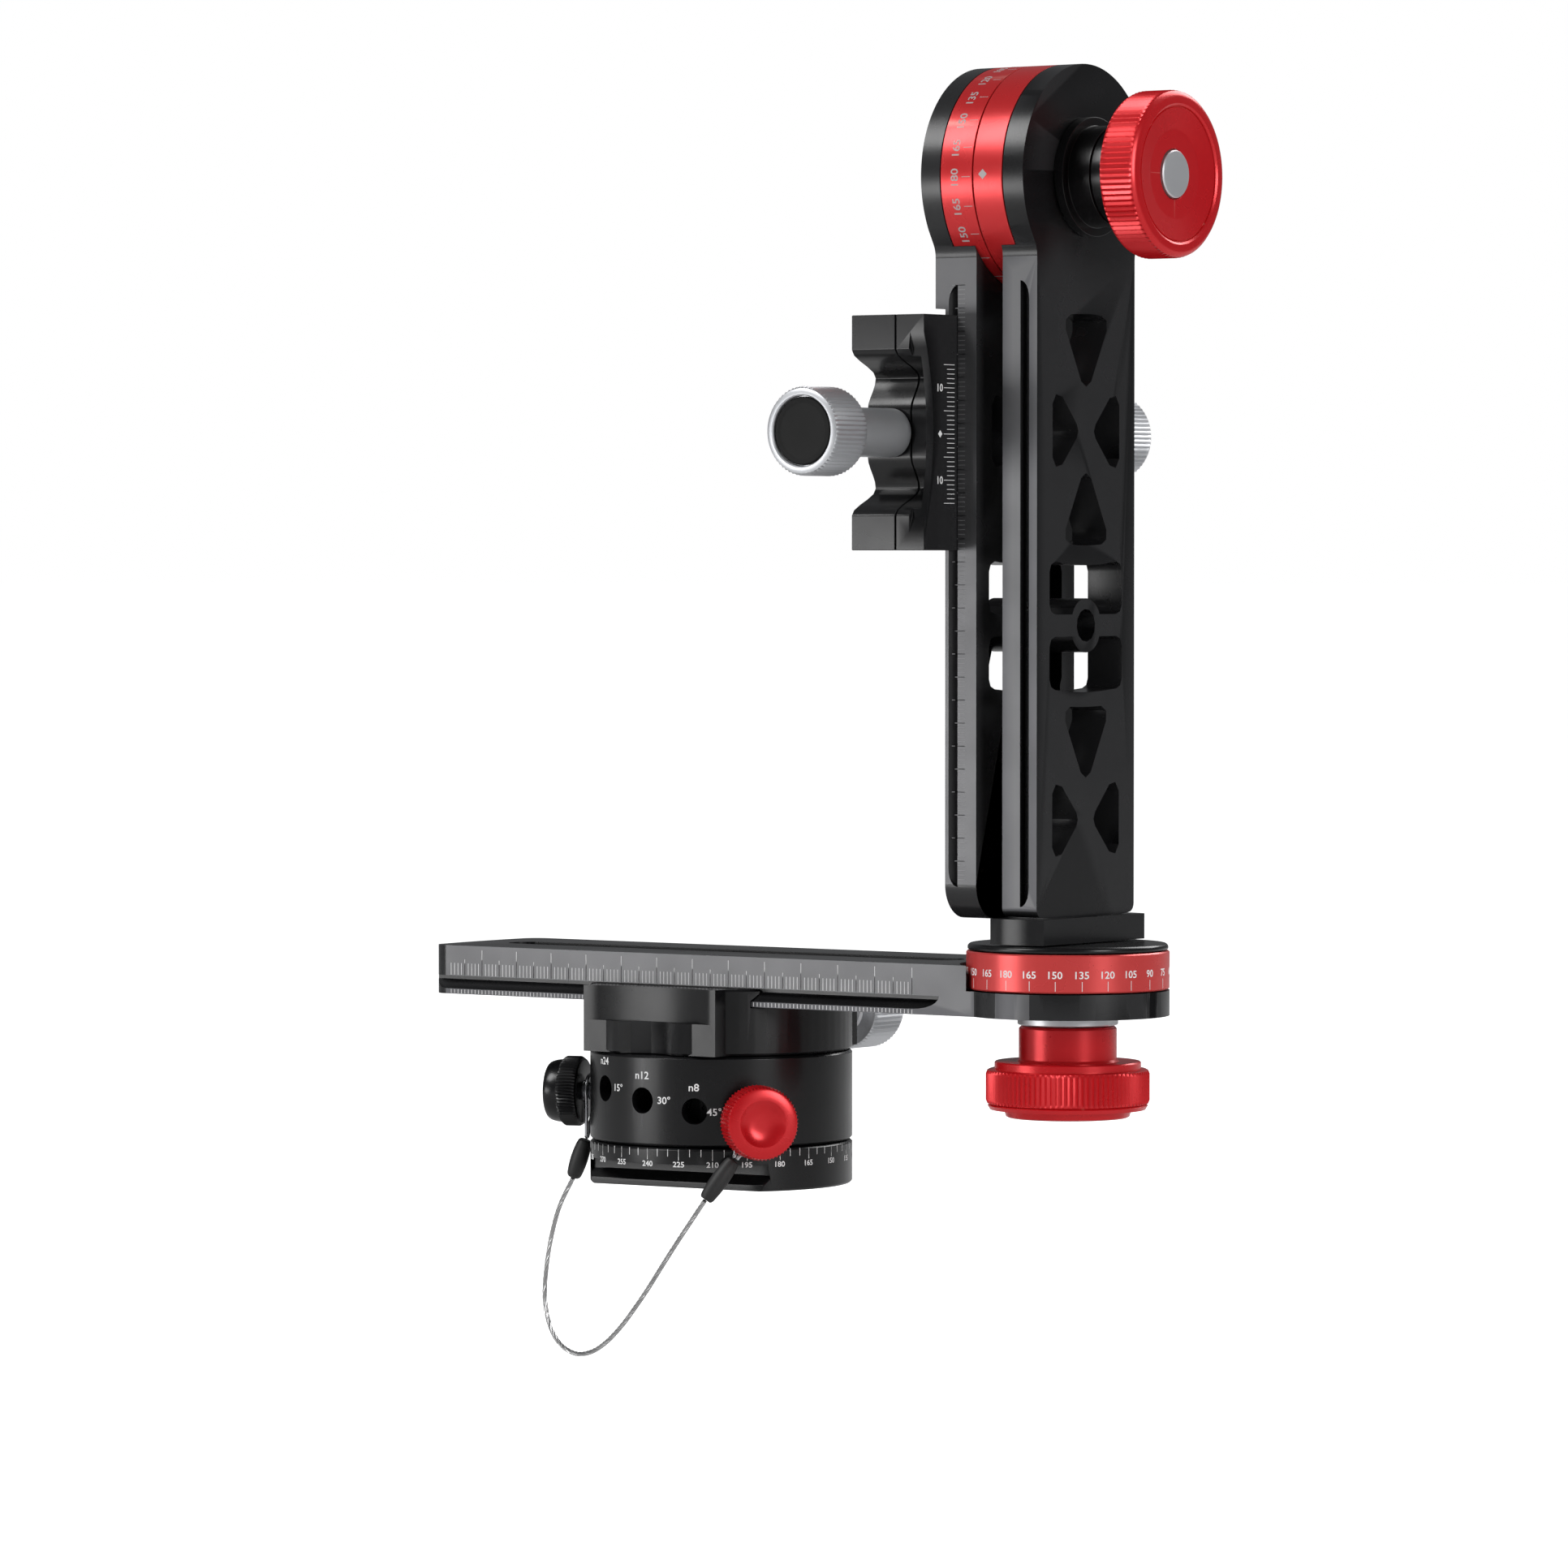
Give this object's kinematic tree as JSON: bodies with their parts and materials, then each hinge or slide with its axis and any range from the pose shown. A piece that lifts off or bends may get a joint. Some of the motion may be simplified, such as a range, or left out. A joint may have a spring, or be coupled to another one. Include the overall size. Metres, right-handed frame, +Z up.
{
  "type": "panoramic tripod head",
  "caption": "Panoramic head with an indexed rotator, a sliding lower rail, a swivelling upright and a tilting camera arm with a sliding plate clamp.",
  "frame": {"origin": "centre of the threaded tripod face under the base ring, on the pan axis", "axes": "+Z up along the pan axis and the upright, +X along the lower rail towards its hub, -Y towards the side with the scales"},
  "size_m": [0.1921, 0.1183, 0.2887],
  "materials": {
    "black_anodised": "satin black anodised",
    "red_anodised": "bright red anodised",
    "silver_aluminium": "turned and knurled, clear anodised",
    "steel": "plain turned steel",
    "bronze": "plain bearing bronze",
    "tether_wire": "stranded steel wire",
    "crimp_sleeve": "black crimped sleeve"
  },
  "bodies": {
    "base": {"base_ring": "black_anodised", "thread_bush": "steel", "index_core": "steel", "core_screw_1": "steel", "core_screw_2": "steel", "core_screw_3": "steel", "pan_bearing": "bronze", "centre_bolt": "steel"},
    "rotator": {"rotator_housing": "black_anodised", "lower_clamp_body": "black_anodised", "clamp_bolt_1": "steel", "clamp_bolt_2": "steel", "tether_cable": "tether_wire", "tether_eye_left": "tether_wire", "tether_eye_right": "tether_wire", "tether_sleeve_left": "crimp_sleeve", "tether_sleeve_right": "crimp_sleeve"},
    "pan_lock_shoe": {"pan_lock_shoe": "bronze"},
    "pan_lock_knob": {"pan_lock_screw": "steel", "pan_lock_knob": "black_anodised"},
    "index_plunger": {"index_plunger": "steel"},
    "index_knob": {"index_knob": "red_anodised"},
    "lower_jaw": {"lower_jaw": "black_anodised", "lower_guide_pin_1": "steel", "lower_guide_pin_2": "steel"},
    "lower_clamp_knob": {"lower_clamp_knob": "silver_aluminium", "lower_clamp_knob_cap": "black_anodised", "lower_clamp_screw": "steel"},
    "lower_rail": {"lower_rail": "black_anodised", "hub_bush": "bronze", "hub_scale_ring": "red_anodised", "hub_washer": "silver_aluminium"},
    "hub_knob": {"hub_knob": "red_anodised"},
    "swivel": {"hub_cap": "black_anodised", "swivel_block": "black_anodised", "hub_bolt": "steel", "block_set_screw": "silver_aluminium", "block_screw_1": "steel", "block_screw_2": "steel", "upright_beam": "black_anodised", "tilt_index_ring": "red_anodised", "tilt_bush": "bronze", "tilt_collar": "black_anodised"},
    "camera_arm": {"camera_arm": "black_anodised", "tilt_scale_ring": "red_anodised", "tilt_axle": "steel", "arm_screw_1": "steel", "arm_screw_2": "steel", "arm_screw_3": "steel"},
    "tilt_knob": {"tilt_knob": "red_anodised", "tilt_knob_cap": "silver_aluminium"},
    "camera_clamp": {"camera_clamp_body": "black_anodised"},
    "arm_jaw": {"arm_jaw": "black_anodised"},
    "arm_jaw_knob": {"arm_jaw_knob": "silver_aluminium", "arm_jaw_knob_cap": "black_anodised", "arm_jaw_screw": "steel"},
    "camera_jaw": {"camera_jaw": "black_anodised"},
    "camera_jaw_knob": {"camera_jaw_knob": "silver_aluminium", "camera_jaw_knob_cap": "black_anodised", "camera_jaw_screw": "steel"}
  },
  "joints": [
    {"name": "pan", "type": "hinge", "parent": "base", "child": "rotator", "pos_m": [0, 0, 0], "axis": [0, 0, 1], "continuous": true},
    {"name": "pan_lock_travel", "type": "slide", "parent": "rotator", "child": "pan_lock_shoe", "axis": [-0.9397, -0.342, 0], "range_m": [0, 0.0007]},
    {"name": "pan_lock_turn", "type": "hinge", "parent": "pan_lock_shoe", "child": "pan_lock_knob", "pos_m": [-0.0329, -0.01197, 0.0198], "axis": [0.9397, 0.342, 0], "range_deg": [0, 360]},
    {"name": "index_travel", "type": "slide", "parent": "rotator", "child": "index_plunger", "axis": [0.766, -0.6428, 0], "range_m": [0, 0.0045]},
    {"name": "index_turn", "type": "hinge", "parent": "index_plunger", "child": "index_knob", "pos_m": [0.02681, -0.0225, 0.01595], "axis": [-0.766, 0.6428, 0], "range_deg": [0, 2025]},
    {"name": "lower_jaw_travel", "type": "slide", "parent": "rotator", "child": "lower_jaw", "axis": [0, 1, 0], "range_m": [0, 0.003]},
    {"name": "lower_knob_turn", "type": "hinge", "parent": "lower_jaw", "child": "lower_clamp_knob", "pos_m": [0, 0.04, 0.037], "axis": [0, -1, 0], "range_deg": [0, 1080]},
    {"name": "rail_travel", "type": "slide", "parent": "rotator", "child": "lower_rail", "axis": [1, 0, 0], "range_m": [-0.034, 0.045]},
    {"name": "swivel", "type": "hinge", "parent": "lower_rail", "child": "swivel", "pos_m": [0.09434, 0, 0.056], "axis": [0, 0, 1], "continuous": true},
    {"name": "hub_knob_turn", "type": "hinge", "parent": "swivel", "child": "hub_knob", "pos_m": [0.09434, 0, 0.03], "axis": [0, 0, 1], "range_deg": [0, 360]},
    {"name": "tilt", "type": "hinge", "parent": "swivel", "child": "camera_arm", "pos_m": [0.0858, 0, 0.2235], "axis": [1, 0, 0], "continuous": true},
    {"name": "tilt_knob_turn", "type": "hinge", "parent": "camera_arm", "child": "tilt_knob", "pos_m": [0.118, 0, 0.2235], "axis": [1, 0, 0], "range_deg": [0, 360]},
    {"name": "camera_clamp_travel", "type": "slide", "parent": "camera_arm", "child": "camera_clamp", "axis": [0, 0, 1], "range_m": [-0.0685, 0.001]},
    {"name": "arm_jaw_travel", "type": "slide", "parent": "camera_clamp", "child": "arm_jaw", "axis": [0, 1, 0], "range_m": [0, 0.003]},
    {"name": "arm_jaw_turn", "type": "hinge", "parent": "arm_jaw", "child": "arm_jaw_knob", "pos_m": [0.0702, 0.04, 0.168], "axis": [0, -1, 0], "range_deg": [0, 1080]},
    {"name": "camera_jaw_travel", "type": "slide", "parent": "camera_clamp", "child": "camera_jaw", "axis": [0, -1, 0], "range_m": [0, 0.003]},
    {"name": "camera_jaw_turn", "type": "hinge", "parent": "camera_jaw", "child": "camera_jaw_knob", "pos_m": [0.0656, -0.04, 0.168], "axis": [0, 1, 0], "range_deg": [0, 1080]}
  ],
  "couplings": [
    {"joint": "pan_lock_travel", "follows": "pan_lock_turn", "m_per_rad": 0.00011141},
    {"joint": "index_travel", "follows": "index_turn", "m_per_rad": 0.00012732},
    {"joint": "lower_knob_turn", "follows": "lower_jaw_travel", "rad_per_m": 6283.2},
    {"joint": "arm_jaw_turn", "follows": "arm_jaw_travel", "rad_per_m": 6283.2},
    {"joint": "camera_jaw_turn", "follows": "camera_jaw_travel", "rad_per_m": 6283.2}
  ]
}
